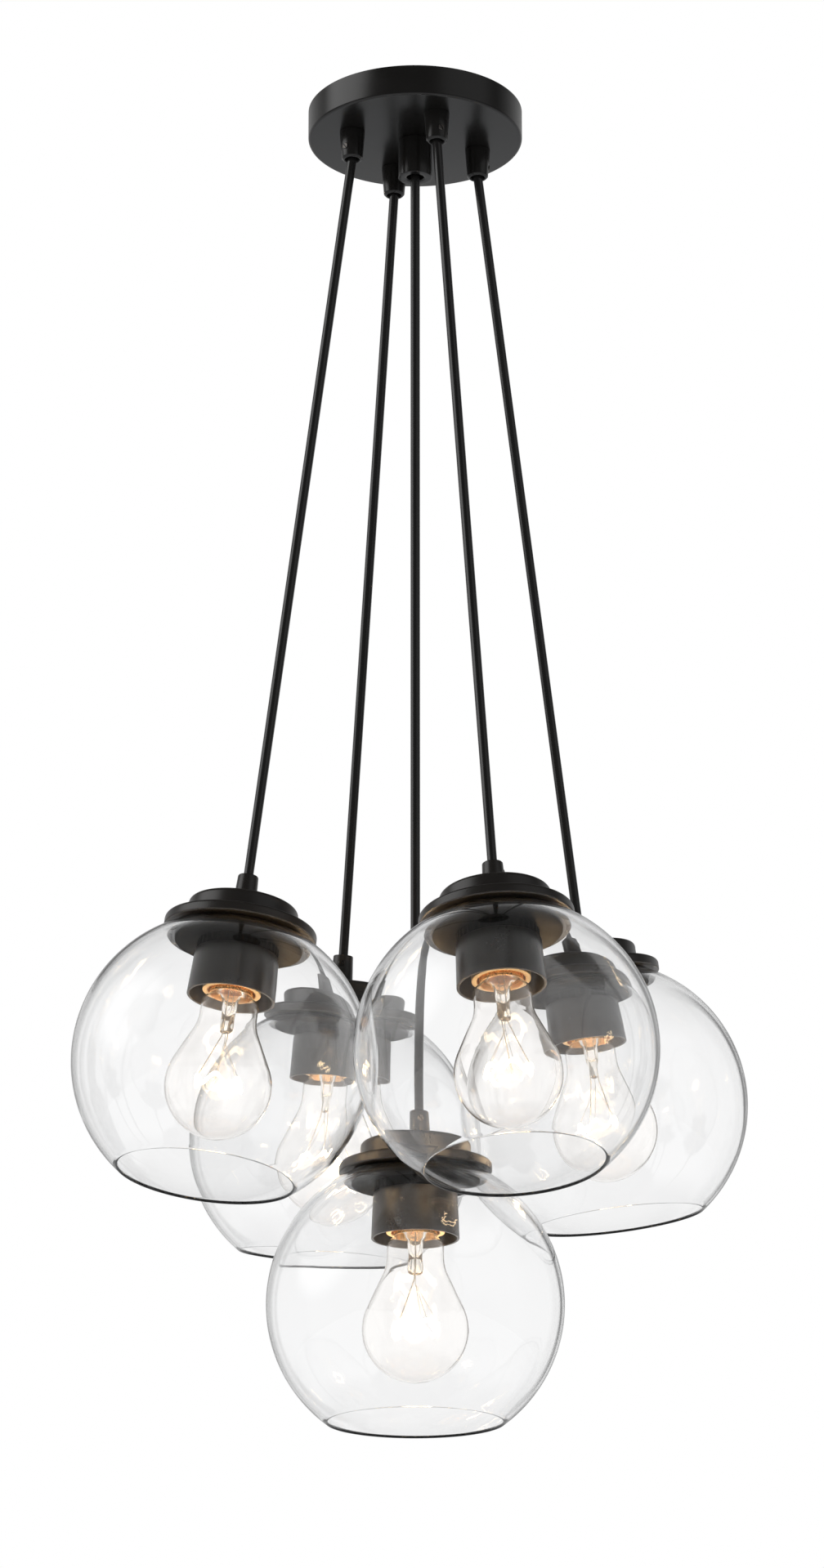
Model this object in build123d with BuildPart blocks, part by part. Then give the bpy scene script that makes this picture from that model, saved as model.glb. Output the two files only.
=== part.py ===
"""Five-light glass pendant cluster: a round ceiling canopy, five straight cords and five open glass globes.

Millimetres, +Z up. The origin is the centre of the canopy's upper rim, on the ceiling, and the light hangs
below it. Four outer pendants lean against each other in a square and a fifth hangs lower, in the middle.
"""
import os
from collections import namedtuple
from math import cos, radians, sin, sqrt, tan

from build123d import *

os.makedirs("parts", exist_ok=True)

# Canopy and what holds it to the ceiling
canopy_diameter = 127.0
canopy_height = 18.5
canopy_wall = 1.4
canopy_edge_radius = 1.2
bar_length = 106.0
bar_width = 18.0
bar_thickness = 2.0
box_screw_spacing = 88.9
box_slot_width = 4.8
box_slot_length = 11.0
ground_screw_diameter = 4.0
ground_screw_length = 6.0
ground_screw_head = 7.6
ground_screw_head_height = 2.6
ground_screw_place = 24.0
nipple_diameter = 9.6
nipple_bore = 6.6
nipple_length = 32.0
nipple_nut_height = 3.2
nipple_nut_flats = 16.0
collar_diameter = 19.8
collar_length = 23.6
collar_mouth_chamfer = 0.8

# Cords and the grips that clamp them
cord_diameter = 5.5
cord_play = 0.1
tail_gap = 0.35
tail_top_depth = 5.0
grip_circle_radius = 39.3
first_grip_angle = -71.3
canopy_grip_length = 17.8
canopy_grip_top = 15.0
canopy_grip_mouth = 12.4
canopy_grip_edge = 1.1
grip_mouth_bore = 7.2
grip_mouth_depth = 5.2
grip_mouth_flare = 1.0
swing_height = 1.2
grip_stem_diameter = 9.6
grip_stem_length = 6.0
grip_nut_height = 3.2
grip_nut_flats = 14.0
set_screw_diameter = 3.8
set_screw_play = 0.08
set_screw_proud = 0.35
set_screw_slot = 0.8
set_screw_slot_depth = 0.9
canopy_screw_drop = 11.0
canopy_screw_turns = (4.0, -14.0, 0.0, 34.0)

# Where the globes hang: the outer four in a ring, the fifth on the axis
globe_diameter = 167.0
globe_gap = 0.5
globe_ring_turn = 6.0
outer_drops = (604.5, 597.0, 604.5, 596.5)
center_drop = 723.7
pendant_screw_headings = (20.0, 0.0, -95.0, 100.0, -80.0)

# Glass globe
globe_wall = 2.8
globe_hole_diameter = 43.0
globe_seat_height = 74.0
globe_rim_depth = 65.5

# Stepped cap with its cord grip
flange_diameter = 86.0
flange_thickness = 6.0
flange_edge_radius = 2.2
tier_diameter = 62.0
tier_height = 12.0
tier_edge_radius = 3.0
cap_wall = 2.4
cap_boss_diameter = 52.0
cap_boss_height = 0.8
cap_wire_hole = 7.0
pendant_grip_height = 18.0
pendant_grip_base = 13.2
pendant_grip_top = 11.6
pendant_grip_edge = 0.5
pendant_screw_drop = 5.2

# Shade ring, socket cup and lamp socket
seat_play = 0.2
ring_diameter = 46.4
ring_height = 7.0
ring_flute_count = 36
ring_flute_depth = 0.5
cup_top_diameter = 47.8
cup_lip_diameter = 49.8
cup_height = 26.0
cup_wall = 1.5
cup_lip_radius = 0.45
socket_thread_diameter = 40.0
socket_diameter = 33.0
socket_shoulder_diameter = 38.0
socket_shoulder_height = 3.0
socket_mouth_rise = 3.4
socket_head_rise = 1.6
socket_wire_hole = 3.0
socket_wire_spacing = 14.0
shell_wall = 0.5
shell_length = 23.0
contact_diameter = 9.0
contact_thickness = 1.2
fit_play = 0.1

# Lamp bulb
bulb_diameter = 60.0
bulb_length = 110.0
bulb_reach = 82.0
bulb_wall = 0.8
bulb_cone_angle = 25.0
bulb_neck_diameter = 32.4
bulb_neck_radius = 25.0
bulb_shoulder_height = 4.2
stem_diameter = 9.0
stem_length = 26.0
stem_disc = 1.2
base_diameter = 26.0
base_height = 26.5
base_wall = 0.45
base_shell_length = 19.0
base_rim_length = 3.0
base_thread_pitch = 3.629
base_thread_depth = 0.75
tip_cone_diameter = 14.0
tip_eyelet_diameter = 9.4
tip_eyelet_height = 1.8
tip_eyelet_taper = 10.0
lead_diameter = 0.7
lead_spacing = 5.0
filament_span = 24.0
filament_diameter = 1.0
bulb_play = 0.3

# Levels under the ceiling
canopy_radius = canopy_diameter / 2
canopy_floor = -canopy_height + canopy_wall
cord_radius = cord_diameter / 2
mouth_level = -canopy_height - canopy_grip_length
pivot_level = mouth_level + swing_height
collar_mouth_level = -canopy_height - collar_length
nipple_end = -nipple_length
tail_foot = cord_radius + tail_gap
set_screw_point = cord_radius + cord_play

# Levels of a pendant, measured up its own axis from the globe's centre
globe_radius = globe_diameter / 2
globe_inner = globe_radius - globe_wall
hole_radius = globe_hole_diameter / 2
seat_level = globe_seat_height
seat_underside = seat_level - globe_wall
seat_radius = sqrt(globe_radius**2 - seat_level**2)
flange_level = seat_level + cap_boss_height
tier_level = flange_level + flange_thickness
cap_top = tier_level + tier_height
grip_top = cap_top + pendant_grip_height
ring_radius = ring_diameter / 2
ring_top = seat_underside - seat_play
ring_foot = ring_top - ring_height
lip_level = ring_foot - cup_height
socket_thread_radius = socket_thread_diameter / 2
socket_head = seat_level + socket_head_rise
socket_mouth = lip_level + socket_mouth_rise
bulb_bottom = lip_level - bulb_reach
bulb_tip_level = bulb_bottom + bulb_length
base_rim = bulb_tip_level - base_height
contact_level = bulb_tip_level + bulb_play
socket_floor = contact_level + contact_thickness
bulb_radius = bulb_diameter / 2
bulb_center = bulb_bottom + bulb_radius
filament_level = bulb_center + filament_diameter
base_shell_top = base_rim + base_shell_length
shell_inner = base_diameter / 2 + bulb_play
shell_outer = shell_inner + shell_wall
socket_bore = shell_outer + fit_play

Hang = namedtuple("Hang", "number pivot center up section axis level screw_heading")


def polar(radius, angle, height):
    """A point at a radius and an angle in degrees round the fixture's axis."""
    return Vector(radius * cos(radians(angle)), radius * sin(radians(angle)), height)


def make_hang(number, pivot, center, screw_heading):
    """The planes and axis of one pendant, whose globe hangs at center from a cord that leaves at pivot."""
    up = (pivot - center).normalized()
    side = Vector(0, 1, 0).cross(up).normalized()
    section = Plane(origin=center, x_dir=side, z_dir=side.cross(up))
    level = Plane(origin=center, x_dir=side, z_dir=up)
    return Hang(number, pivot, center, up, section, Axis(center, up), level, screw_heading)


def hang_pendants():
    """The five pendants in order: the outer four round the ring, then the middle one."""
    ring_radius_of_centers = (globe_diameter + globe_gap) / sqrt(2)
    hangs = []
    for index, drop in enumerate(outer_drops):
        angle = first_grip_angle + 90 * index
        pivot = polar(grip_circle_radius, angle, pivot_level)
        center = polar(ring_radius_of_centers, angle + globe_ring_turn, -drop)
        hangs.append(make_hang(index + 1, pivot, center, pendant_screw_headings[index]))
    middle_pivot = Vector(0, 0, nipple_end)
    hangs.append(make_hang(5, middle_pivot, Vector(0, 0, -center_drop), pendant_screw_headings[4]))
    return hangs


def upright_section(x, y):
    """The section plane of a piece that is round about a vertical line through x, y."""
    return Plane(origin=(x, y, 0), x_dir=(1, 0, 0), z_dir=(0, -1, 0))


def screw_plane(foot, up, heading):
    """A plane on a grip's axis whose Z points out of a set screw, for a heading in degrees about the axis."""
    flat = Vector(cos(radians(heading)), sin(radians(heading)), 0)
    out = (flat - up * flat.dot(up)).normalized()
    return Plane(origin=foot, x_dir=up, z_dir=out)


def grip_radius_at(height, length, foot_radius, top_radius):
    """The radius of a tapered grip at a height above its foot."""
    return foot_radius + (top_radius - foot_radius) * height / length


hangs = hang_pendants()
grip_places = [polar(grip_circle_radius, first_grip_angle + 90 * index, 0) for index in range(4)]
canopy_screw_level = -canopy_height - canopy_screw_drop
canopy_screw_radius = grip_radius_at(
    canopy_screw_drop, canopy_grip_length, canopy_grip_top / 2, canopy_grip_mouth / 2
)
canopy_screw_planes = []
for index, place in enumerate(grip_places):
    heading = first_grip_angle + 90 * index + canopy_screw_turns[index]
    foot = Vector(place.X, place.Y, canopy_screw_level)
    canopy_screw_planes.append(screw_plane(foot, Vector(0, 0, 1), heading))
canopy_screw_reach = canopy_screw_radius + set_screw_proud

# Canopy: a shallow spun cup, open upwards, drilled for four grips and the middle nipple
with BuildPart() as canopy:
    with BuildSketch(upright_section(0, 0)):
        Polygon(
            (0, -canopy_height),
            (canopy_radius, -canopy_height),
            (canopy_radius, 0),
            (canopy_radius - canopy_wall, 0),
            (canopy_radius - canopy_wall, canopy_floor),
            (0, canopy_floor),
            align=None,
        )
    revolve(axis=Axis.Z)
    lower_rim = canopy.edges().filter_by(GeomType.CIRCLE).group_by(Axis.Z)[0].sort_by(SortBy.LENGTH)[-1]
    fillet(lower_rim, canopy_edge_radius)
    with BuildSketch(Plane.XY.offset(-canopy_height)):
        Circle(nipple_diameter / 2 + fit_play)
        with Locations(*grip_places):
            Circle(grip_stem_diameter / 2 + fit_play)
    extrude(amount=canopy_wall, mode=Mode.SUBTRACT)
canopy.part.label = "canopy"
export_step(canopy.part, "parts/canopy.step")

# Mounting bar: a flat strap under the ceiling box, with two box-screw slots and a tapped middle
with BuildPart() as mounting_bar:
    with BuildSketch(Plane.XY.offset(-bar_thickness)):
        SlotOverall(bar_length, bar_width)
        Circle(nipple_diameter / 2 + fit_play, mode=Mode.SUBTRACT)
        with Locations((-box_screw_spacing / 2, 0), (box_screw_spacing / 2, 0)):
            SlotOverall(box_slot_length, box_slot_width, mode=Mode.SUBTRACT)
        with Locations((ground_screw_place, 0)):
            Circle(ground_screw_diameter / 2 + fit_play, mode=Mode.SUBTRACT)
    extrude(amount=bar_thickness)
mounting_bar.part.label = "mounting_bar"
export_step(mounting_bar.part, "parts/mounting_bar.step")

# Ground screw: a slotted pan head under the bar
with BuildPart() as ground_screw:
    with BuildSketch(Plane.XY.offset(-bar_thickness)):
        with Locations((ground_screw_place, 0)):
            Circle(ground_screw_head / 2)
    extrude(amount=-ground_screw_head_height)
    head_rim = ground_screw.edges().filter_by(GeomType.CIRCLE).sort_by(Axis.Z)[0]
    fillet(head_rim, ground_screw_head_height / 3)
    with BuildSketch(Plane.XY.offset(-bar_thickness)):
        with Locations((ground_screw_place, 0)):
            Circle(ground_screw_diameter / 2)
    extrude(amount=bar_thickness)
    with BuildSketch(Plane.XY.offset(-bar_thickness - ground_screw_head_height)):
        with Locations((ground_screw_place, 0)):
            Rectangle(ground_screw_head, ground_screw_head_height / 3)
    extrude(amount=ground_screw_head_height / 3, mode=Mode.SUBTRACT)
ground_screw.part.label = "ground_screw"
export_step(ground_screw.part, "parts/ground_screw.step")

# Middle nipple: the hollow threaded rod that carries the canopy and lets the middle cord through
with BuildPart() as center_nipple:
    with BuildSketch(Plane.XY.offset(nipple_end)):
        Circle(nipple_diameter / 2)
        Circle(nipple_bore / 2, mode=Mode.SUBTRACT)
    extrude(amount=nipple_length)
center_nipple.part.label = "center_nipple"
export_step(center_nipple.part, "parts/center_nipple.step")

# Lock nut that holds the nipple to the bar
with BuildPart() as nipple_nut:
    with BuildSketch(Plane.XY.offset(-bar_thickness - nipple_nut_height)):
        RegularPolygon(nipple_nut_flats / 2, 6, major_radius=False)
        Circle(nipple_diameter / 2 + fit_play, mode=Mode.SUBTRACT)
    extrude(amount=nipple_nut_height)
nipple_nut.part.label = "nipple_nut"
export_step(nipple_nut.part, "parts/nipple_nut.step")

# Middle collar: the plain round sleeve that screws up the nipple and holds the canopy to the ceiling
with BuildPart() as center_collar:
    with BuildSketch(Plane.XY.offset(collar_mouth_level)):
        Circle(collar_diameter / 2)
        Circle(nipple_diameter / 2 + fit_play, mode=Mode.SUBTRACT)
    extrude(amount=collar_length)
    chamfer(center_collar.faces().sort_by(Axis.Z)[0].inner_wires()[0].edges(), collar_mouth_chamfer)
center_collar.part.label = "center_collar"
export_step(center_collar.part, "parts/center_collar.step")

# Canopy grips: four tapered cord clamps with a threaded stem through the canopy
with BuildPart() as canopy_grips:
    for place in grip_places:
        with BuildSketch(upright_section(place.X, place.Y)):
            Polygon(
                (cord_radius + cord_play, canopy_floor + grip_stem_length),
                (grip_stem_diameter / 2, canopy_floor + grip_stem_length),
                (grip_stem_diameter / 2, -canopy_height),
                (canopy_grip_top / 2, -canopy_height),
                (canopy_grip_mouth / 2, mouth_level + canopy_grip_edge),
                (canopy_grip_mouth / 2 - canopy_grip_edge, mouth_level),
                (grip_mouth_bore / 2 + grip_mouth_flare, mouth_level),
                (grip_mouth_bore / 2, mouth_level + swing_height + grip_mouth_flare),
                (grip_mouth_bore / 2, mouth_level + grip_mouth_depth),
                (cord_radius + cord_play, mouth_level + grip_mouth_depth),
                align=None,
            )
        revolve(axis=Axis((place.X, place.Y, 0), (0, 0, 1)))
    for plane in canopy_screw_planes:
        with BuildSketch(plane):
            Circle(set_screw_diameter / 2 + set_screw_play)
        extrude(amount=canopy_screw_reach, mode=Mode.SUBTRACT)
canopy_grips.part.label = "canopy_grips"
export_step(canopy_grips.part, "parts/canopy_grips.step")

# Set screws of the canopy grips: slotted, point on the cord, head just proud of the grip
with BuildPart() as canopy_grip_screws:
    for plane in canopy_screw_planes:
        with BuildSketch(plane.offset(set_screw_point)):
            Circle(set_screw_diameter / 2)
        extrude(amount=canopy_screw_reach - set_screw_point)
        with BuildSketch(plane.offset(canopy_screw_reach - set_screw_slot_depth)):
            Rectangle(set_screw_diameter, set_screw_slot)
        extrude(amount=set_screw_slot_depth, mode=Mode.SUBTRACT)
canopy_grip_screws.part.label = "canopy_grip_screws"
export_step(canopy_grip_screws.part, "parts/canopy_grip_screws.step")

# Hex nuts that clamp the grips to the canopy floor
with BuildPart() as canopy_grip_nuts:
    with BuildSketch(Plane.XY.offset(canopy_floor)):
        with Locations(*grip_places):
            RegularPolygon(grip_nut_flats / 2, 6, major_radius=False)
            Circle(grip_stem_diameter / 2 + fit_play, mode=Mode.SUBTRACT)
    extrude(amount=grip_nut_height)
canopy_grip_nuts.part.label = "canopy_grip_nuts"
export_step(canopy_grip_nuts.part, "parts/canopy_grip_nuts.step")

# Cord tails: the clamped ends that run up through the grips and the nipple into the canopy
with BuildPart() as cord_tails:
    for hang in hangs:
        tail_start = hang.pivot.Z + tail_foot
        with BuildSketch(Plane.XY.offset(tail_start)):
            with Locations((hang.pivot.X, hang.pivot.Y)):
                Circle(cord_radius)
        extrude(amount=-tail_top_depth - tail_start)
cord_tails.part.label = "cord_tails"
export_step(cord_tails.part, "parts/cord_tails.step")


def make_cord(hang):
    """A taut round cord: a rounded top in the mouth of its grip, and a foot inside the pendant's grip."""
    foot_level = cap_top + fit_play * 3
    length = (hang.pivot - hang.center).length - foot_level
    with BuildPart() as cord:
        with BuildSketch(hang.section):
            with BuildLine():
                top = foot_level + length
                Polyline((0, top), (0, foot_level), (cord_radius, foot_level), (cord_radius, top))
                RadiusArc((cord_radius, top), (0, top + cord_radius), -cord_radius)
                Line((0, top + cord_radius), (0, top))
            make_face()
        revolve(axis=hang.axis)
    cord.part.label = f"cord_{hang.number}"
    export_step(cord.part, f"parts/cord_{hang.number}.step")
    print(f"cord {hang.number}: {length:.1f} mm from grip mouth to foot, section x length "
          f"{3.14159 * cord_radius**2 * length:.0f} mm3, volume {cord.part.volume:.0f} mm3")


def make_cord_grip(hang):
    """The tapered grip on the cap and its set screw."""
    screw_height = pendant_grip_height - pendant_screw_drop
    screw_radius = grip_radius_at(
        screw_height, pendant_grip_height, pendant_grip_base / 2, pendant_grip_top / 2
    )
    reach = screw_radius + set_screw_proud
    plane = screw_plane(hang.center + hang.up * (cap_top + screw_height), hang.up, hang.screw_heading)
    bore = cord_radius + cord_play
    with BuildPart() as cord_grip:
        with BuildSketch(hang.section):
            Polygon(
                (bore, cap_top),
                (pendant_grip_base / 2, cap_top),
                (pendant_grip_top / 2, grip_top - pendant_grip_edge),
                (pendant_grip_top / 2 - pendant_grip_edge, grip_top),
                (bore, grip_top),
                align=None,
            )
        revolve(axis=hang.axis)
        with BuildSketch(plane):
            Circle(set_screw_diameter / 2 + set_screw_play)
        extrude(amount=reach, mode=Mode.SUBTRACT)
        with BuildSketch(plane.offset(set_screw_point)):
            Circle(set_screw_diameter / 2)
        extrude(amount=reach - set_screw_point)
        with BuildSketch(plane.offset(reach - set_screw_slot_depth)):
            Rectangle(set_screw_diameter, set_screw_slot)
        extrude(amount=set_screw_slot_depth, mode=Mode.SUBTRACT)
    cord_grip.part.label = f"cord_grip_{hang.number}"
    export_step(cord_grip.part, f"parts/cord_grip_{hang.number}.step")


def make_cap(hang):
    """The stepped cap: a flange over the glass, a narrower round-edged tier, and a hollow for the splices."""
    flange_radius = flange_diameter / 2
    tier_radius = tier_diameter / 2
    bore = socket_thread_radius + fit_play
    with BuildPart() as cap:
        with BuildSketch(hang.section):
            with BuildLine():
                Polyline(
                    (cap_wire_hole / 2, cap_top - cap_wall),
                    (tier_radius - cap_wall, cap_top - cap_wall),
                    (tier_radius - cap_wall, flange_level + cap_wall),
                    (bore, flange_level + cap_wall),
                    (bore, seat_level),
                    (cap_boss_diameter / 2, seat_level),
                    (cap_boss_diameter / 2, flange_level),
                    (flange_radius, flange_level),
                    (flange_radius, tier_level - flange_edge_radius),
                )
                RadiusArc(
                    (flange_radius, tier_level - flange_edge_radius),
                    (flange_radius - flange_edge_radius, tier_level),
                    -flange_edge_radius,
                )
                Polyline(
                    (flange_radius - flange_edge_radius, tier_level),
                    (tier_radius, tier_level),
                    (tier_radius, cap_top - tier_edge_radius),
                )
                RadiusArc(
                    (tier_radius, cap_top - tier_edge_radius),
                    (tier_radius - tier_edge_radius, cap_top),
                    -tier_edge_radius,
                )
                Polyline(
                    (tier_radius - tier_edge_radius, cap_top),
                    (cap_wire_hole / 2, cap_top),
                    (cap_wire_hole / 2, cap_top - cap_wall),
                )
            make_face()
        revolve(axis=hang.axis)
    cap.part.label = f"cap_{hang.number}"
    export_step(cap.part, f"parts/cap_{hang.number}.step")


def make_shade_ring(hang):
    """The fluted ring nut that screws up the socket and clamps the glass against the cap."""
    bore = socket_thread_radius + fit_play
    with BuildPart() as shade_ring:
        with BuildSketch(hang.section):
            Polygon(
                (bore, ring_foot),
                (ring_radius, ring_foot),
                (ring_radius, ring_top),
                (hole_radius - seat_play, ring_top),
                (hole_radius - seat_play, seat_level),
                (bore, seat_level),
                align=None,
            )
        revolve(axis=hang.axis)
        with BuildSketch(hang.level.offset(ring_foot)):
            with PolarLocations(ring_radius, ring_flute_count):
                Circle(ring_flute_depth)
        extrude(amount=ring_height, mode=Mode.SUBTRACT)
    shade_ring.part.label = f"shade_ring_{hang.number}"
    export_step(shade_ring.part, f"parts/shade_ring_{hang.number}.step")


def make_socket_cup(hang):
    """The slightly flared metal cup that hides the socket, open downwards."""
    top_radius = cup_top_diameter / 2
    lip_radius = cup_lip_diameter / 2
    with BuildPart() as socket_cup:
        with BuildSketch(hang.section):
            Polygon(
                (socket_diameter / 2 + fit_play, ring_foot),
                (top_radius, ring_foot),
                (lip_radius, lip_level),
                (lip_radius - cup_wall, lip_level),
                (top_radius - cup_wall, ring_foot - cup_wall),
                (socket_diameter / 2 + fit_play, ring_foot - cup_wall),
                align=None,
            )
        revolve(axis=hang.axis)
        rims = socket_cup.edges().filter_by(GeomType.CIRCLE)
        rims = rims.sort_by(lambda rim: (rim.arc_center - hang.center).dot(hang.up))
        fillet(rims[0:2], cup_lip_radius)
    socket_cup.part.label = f"socket_cup_{hang.number}"
    export_step(socket_cup.part, f"parts/socket_cup_{hang.number}.step")


def make_socket(hang):
    """The lamp socket: insulator with its threaded head, screw shell and middle contact."""
    body = socket_diameter / 2
    shoulder = socket_shoulder_diameter / 2
    shoulder_top = ring_foot - cup_wall
    shoulder_foot = shoulder_top - socket_shoulder_height
    with BuildPart() as socket:
        with BuildSketch(hang.section):
            Polygon(
                (0, socket_floor),
                (socket_bore, socket_floor),
                (socket_bore, socket_mouth),
                (body, socket_mouth),
                (body, shoulder_foot),
                (shoulder, shoulder_foot),
                (shoulder, shoulder_top),
                (body, shoulder_top),
                (body, ring_foot),
                (socket_thread_radius, ring_foot),
                (socket_thread_radius, socket_head),
                (0, socket_head),
                align=None,
            )
        revolve(axis=hang.axis)
        with BuildSketch(hang.level.offset(socket_floor)):
            with Locations((-socket_wire_spacing / 2, 0), (socket_wire_spacing / 2, 0)):
                Circle(socket_wire_hole / 2)
        extrude(amount=socket_head - socket_floor, mode=Mode.SUBTRACT)
        with BuildSketch(hang.level.offset(socket_mouth)):
            Circle(shell_outer)
            Circle(shell_inner, mode=Mode.SUBTRACT)
        extrude(amount=shell_length)
        with BuildSketch(hang.level.offset(contact_level)):
            Circle(contact_diameter / 2)
        extrude(amount=contact_thickness - fit_play)
    socket.part.label = f"socket_{hang.number}"
    export_step(socket.part, f"parts/socket_{hang.number}.step")


def make_globe(hang):
    """The clear glass globe: a sphere, open below in a round rim, with a flat seat and a hole on top."""
    rim_outer = sqrt(globe_radius**2 - globe_rim_depth**2)
    rim_inner = sqrt(globe_inner**2 - globe_rim_depth**2)
    inner_seat_radius = sqrt(globe_inner**2 - seat_underside**2)
    rim_middle = (rim_outer + rim_inner) / 2
    rim_round = (rim_outer - rim_inner) / 2
    with BuildPart() as globe:
        with BuildSketch(hang.section):
            with BuildLine():
                Polyline(
                    (inner_seat_radius, seat_underside),
                    (hole_radius, seat_underside),
                    (hole_radius, seat_level),
                    (seat_radius, seat_level),
                )
                ThreePointArc((seat_radius, seat_level), (globe_radius, 0), (rim_outer, -globe_rim_depth))
                ThreePointArc(
                    (rim_outer, -globe_rim_depth),
                    (rim_middle, -globe_rim_depth - rim_round),
                    (rim_inner, -globe_rim_depth),
                )
                ThreePointArc(
                    (rim_inner, -globe_rim_depth),
                    (globe_inner, 0),
                    (inner_seat_radius, seat_underside),
                )
            make_face()
        revolve(axis=hang.axis)
    globe.part.label = f"globe_{hang.number}"
    export_step(globe.part, f"parts/globe_{hang.number}.step")


def bulb_wall_line(inset):
    """The bulb's side from the bottom of its round end up to the neck, at an inset from the outer face."""
    ball = bulb_radius - inset
    neck = bulb_neck_diameter / 2 - inset
    turn = radians(bulb_cone_angle)
    leave = (ball * cos(turn), bulb_center + ball * sin(turn))
    corner_height = leave[1] + (leave[0] - neck) / tan(turn)
    run = (bulb_neck_radius + inset) * tan(turn / 2)
    cone_end = (neck + run * sin(turn), corner_height - run * cos(turn))
    neck_start = (neck, corner_height + run)
    ThreePointArc(
        (0, bulb_bottom + inset),
        (ball * cos(radians(-45)), bulb_center + ball * sin(radians(-45))),
        leave,
    )
    Line(leave, cone_end)
    RadiusArc(cone_end, neck_start, bulb_neck_radius + inset)
    return neck_start


def make_bulb_glass(hang):
    """The clear envelope, sealed to a flare disc that carries the glass stem."""
    collar = base_diameter / 2 - base_thread_depth - base_wall - fit_play
    top = base_rim + base_rim_length
    neck = bulb_neck_diameter / 2
    shoulder_level = base_rim - bulb_shoulder_height
    with BuildPart() as bulb_glass:
        with BuildSketch(hang.section):
            with BuildLine():
                start = bulb_wall_line(0)
                Polyline(
                    start,
                    (neck, shoulder_level),
                    (collar, base_rim - fit_play),
                    (collar, top),
                    (0, top),
                )
                Line((0, top), (0, bulb_bottom))
            make_face()
        revolve(axis=hang.axis)
        with BuildSketch(hang.section):
            with BuildLine():
                start = bulb_wall_line(bulb_wall)
                inner_collar = collar - bulb_wall
                inner_top = top - stem_disc
                Polyline(
                    start,
                    (neck - bulb_wall, shoulder_level),
                    (inner_collar, base_rim - fit_play),
                    (inner_collar, inner_top),
                    (stem_diameter / 2, inner_top),
                    (stem_diameter / 2, inner_top - stem_length),
                    (0, inner_top - stem_length),
                    (0, bulb_bottom + bulb_wall),
                )
            make_face()
        revolve(axis=hang.axis, mode=Mode.SUBTRACT)
    bulb_glass.part.label = f"bulb_glass_{hang.number}"
    export_step(bulb_glass.part, f"parts/bulb_glass_{hang.number}.step")


def base_thread_points():
    """Corners of the rolled thread's section, ring by ring up the shell."""
    crest = base_diameter / 2
    root = crest - base_thread_depth
    first = base_rim + base_rim_length + base_thread_pitch / 4
    rings = int((base_shell_top - first) / base_thread_pitch)
    points = [(root, base_rim), (root, first)]
    for ring in range(rings):
        foot = first + ring * base_thread_pitch
        points += [(crest, foot + base_thread_pitch / 3), (crest, foot + base_thread_pitch / 2)]
        points.append((root, foot + base_thread_pitch * 5 / 6))
    return points + [(root, base_shell_top)]


def make_bulb_base(hang):
    """The bulb's metal: the ringed screw shell, two lead wires and the filament between them."""
    inner = base_diameter / 2 - base_thread_depth - base_wall
    stem_end = base_rim + base_rim_length - stem_disc - stem_length
    lead_length = stem_end - filament_level
    with BuildPart() as bulb_base:
        with BuildSketch(hang.section):
            Polygon((inner, base_rim), *base_thread_points(), (inner, base_shell_top), align=None)
        revolve(axis=hang.axis)
        with BuildSketch(hang.level.offset(filament_level)):
            with Locations((-lead_spacing / 2, 0), (lead_spacing / 2, 0)):
                Circle(lead_diameter / 2)
        extrude(amount=lead_length)
        across = Plane(
            origin=hang.center + hang.up * filament_level - hang.level.x_dir * (filament_span / 2),
            x_dir=hang.up,
            z_dir=hang.level.x_dir,
        )
        with BuildSketch(across):
            Circle(filament_diameter / 2)
        extrude(amount=filament_span)
    bulb_base.part.label = f"bulb_base_{hang.number}"
    export_step(bulb_base.part, f"parts/bulb_base_{hang.number}.step")


def make_bulb_tip(hang):
    """The bulb's end: the insulating cone and the middle eyelet that meets the socket's contact."""
    root = base_diameter / 2 - base_thread_depth
    eyelet_foot = bulb_tip_level - tip_eyelet_height
    with BuildPart() as bulb_tip:
        with BuildSketch(hang.section):
            Polygon(
                (0, base_shell_top + fit_play),
                (root, base_shell_top + fit_play),
                (tip_cone_diameter / 2, eyelet_foot),
                (0, eyelet_foot),
                align=None,
            )
        revolve(axis=hang.axis)
        with BuildSketch(hang.level.offset(eyelet_foot)):
            Circle(tip_eyelet_diameter / 2)
        extrude(amount=tip_eyelet_height, taper=tip_eyelet_taper)
    bulb_tip.part.label = f"bulb_tip_{hang.number}"
    export_step(bulb_tip.part, f"parts/bulb_tip_{hang.number}.step")


for hang in hangs:
    make_cord(hang)
    make_cord_grip(hang)
    make_cap(hang)
    make_shade_ring(hang)
    make_socket_cup(hang)
    make_socket(hang)
    make_globe(hang)
    make_bulb_glass(hang)
    make_bulb_base(hang)
    make_bulb_tip(hang)
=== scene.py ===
# %% [markdown]
# # A five-light glass pendant
# The light hangs from a round black canopy: five straight cords, five stepped black caps, and five clear
# glass globes with lit bulbs in them. The measured solids are loaded first and stay as they are. Every
# piece below is modelled in the same place, in metres, and rides on the body of the solid that it stands
# for.

# %% Load the solids
import math

import bmesh
import bpy
from mathutils import Matrix, Vector


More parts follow.
